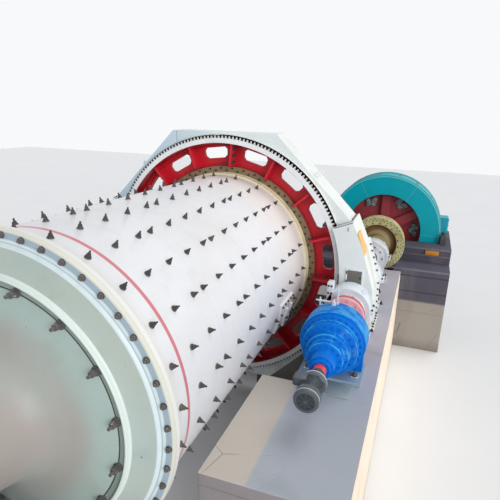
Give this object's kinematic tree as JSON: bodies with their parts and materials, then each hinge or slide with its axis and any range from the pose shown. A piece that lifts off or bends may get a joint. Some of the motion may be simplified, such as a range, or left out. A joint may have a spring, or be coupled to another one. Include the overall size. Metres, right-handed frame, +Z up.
{
  "type": "overflow ball mill",
  "caption": "Horizontal overflow ball mill on concrete piers, with girth gear and guard, pinion line, slow drive, clutch and ring-shaped motor.",
  "frame": {"origin": "on the ground under the middle of the feed end's main bearing", "axes": "+Y along the mill from feed to discharge, +X to the drive side, +Z up"},
  "size_m": [7.7435, 14.95, 6.1995],
  "materials": {
    "concrete": "cast concrete, painted grey, worn",
    "bearing_paint": "satin",
    "drum_white": "satin, dusty",
    "head_paint": "satin, worn",
    "bare_steel": "machined, greased",
    "gear_red": "satin",
    "guard_white": "satin",
    "dark_steel": "satin, worn",
    "reducer_blue": "gloss",
    "small_motor_paint": "satin",
    "clutch_yellow": "satin, worn",
    "clutch_brown": "matte, rusty",
    "motor_teal": "satin"
  },
  "bodies": {
    "foundation": {"feed_pier": "concrete", "discharge_pier": "concrete", "drive_plinth": "concrete", "motor_plinth": "concrete", "feed_bearing_base": "bearing_paint", "feed_bearing_cap": "bearing_paint", "discharge_bearing_base": "bearing_paint", "discharge_bearing_cap": "bearing_paint", "guard_top": "guard_white", "guard_drive_side": "guard_white", "guard_left_side": "guard_white", "guard_sump": "guard_white", "guard_stand": "dark_steel", "guard_hatch": "dark_steel", "pinion_bearing_near": "bearing_paint", "pinion_bearing_far": "bearing_paint", "clutch_bearing": "bearing_paint", "reducer_coupling_half": "gear_red", "reducer_body": "reducer_blue", "reducer_foot": "reducer_blue", "slow_drive_neck": "gear_red", "slow_drive_adapter": "dark_steel", "slow_motor": "small_motor_paint", "slow_motor_cowl": "small_motor_paint", "motor_frame": "motor_teal", "motor_terminal_box": "motor_teal", "motor_bearing_near": "motor_teal", "motor_bearing_far": "motor_teal", "motor_soles": "dark_steel"},
    "drum": {"shell": "drum_white", "feed_head": "head_paint", "discharge_head": "head_paint", "feed_trunnion": "head_paint", "discharge_trunnion": "head_paint", "manhole_covers": "drum_white", "girth_gear": "bare_steel", "gear_web": "gear_red", "gear_seal_ring": "drum_white"},
    "pinion_line": {"pinion": "bare_steel", "pinion_shaft": "bare_steel", "pinion_coupling_half": "gear_red", "clutch_drum": "clutch_yellow", "clutch_hub": "clutch_brown", "motor_shaft": "bare_steel", "motor_rotor": "gear_red"}
  },
  "joints": [
    {"name": "drum_spin", "type": "hinge", "parent": "foundation", "child": "drum", "pos_m": [0, 4.3, 3.5], "axis": [0, 1, 0], "continuous": true},
    {"name": "pinion_spin", "type": "hinge", "parent": "foundation", "child": "pinion_line", "pos_m": [2.9032, 7.16, 3.14353], "axis": [0, 1, 0], "continuous": true}
  ],
  "couplings": [
    {"joint": "pinion_spin", "follows": "drum_spin", "ratio": -8.36}
  ]
}
